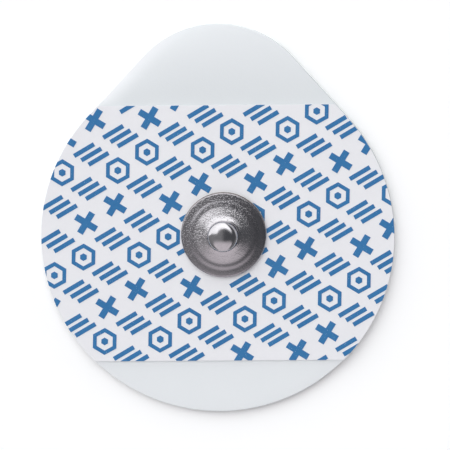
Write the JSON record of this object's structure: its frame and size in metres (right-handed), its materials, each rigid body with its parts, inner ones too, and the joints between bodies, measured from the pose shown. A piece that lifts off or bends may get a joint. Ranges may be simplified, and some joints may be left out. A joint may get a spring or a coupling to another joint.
{
  "type": "ecg electrode",
  "caption": "Disposable snap electrode: foam disc with a finger tab, printed film strip, metal snap stud, and a gel-covered sensor underneath.",
  "frame": {"origin": "on the stud's axis, on the skin side of the electrode", "axes": "+Z out of the stud, away from the skin; +Y towards the finger tab; +X to the right in the picture"},
  "size_m": [0.044, 0.0485, 0.0043],
  "materials": {
    "foam": "white closed-cell polyethylene foam, matte, with a skin adhesive on its underside",
    "film": "white coated film, satin",
    "ink": "mid-blue printing ink, satin",
    "stud_metal": "pressed stainless steel, satin with a fine grain, dark pewter tone",
    "silvered_plastic": "moulded plastic with a dull silver coating",
    "gel": "clear conductive hydrogel, wet and tacky, with a thin scrim inside"
  },
  "bodies": {
    "root": {"foam_pad": "foam", "face_label": "film", "label_print": "ink", "snap_stud": "stud_metal", "sensor_eyelet": "silvered_plastic", "hydrogel_pad": "gel"}
  },
  "joints": []
}
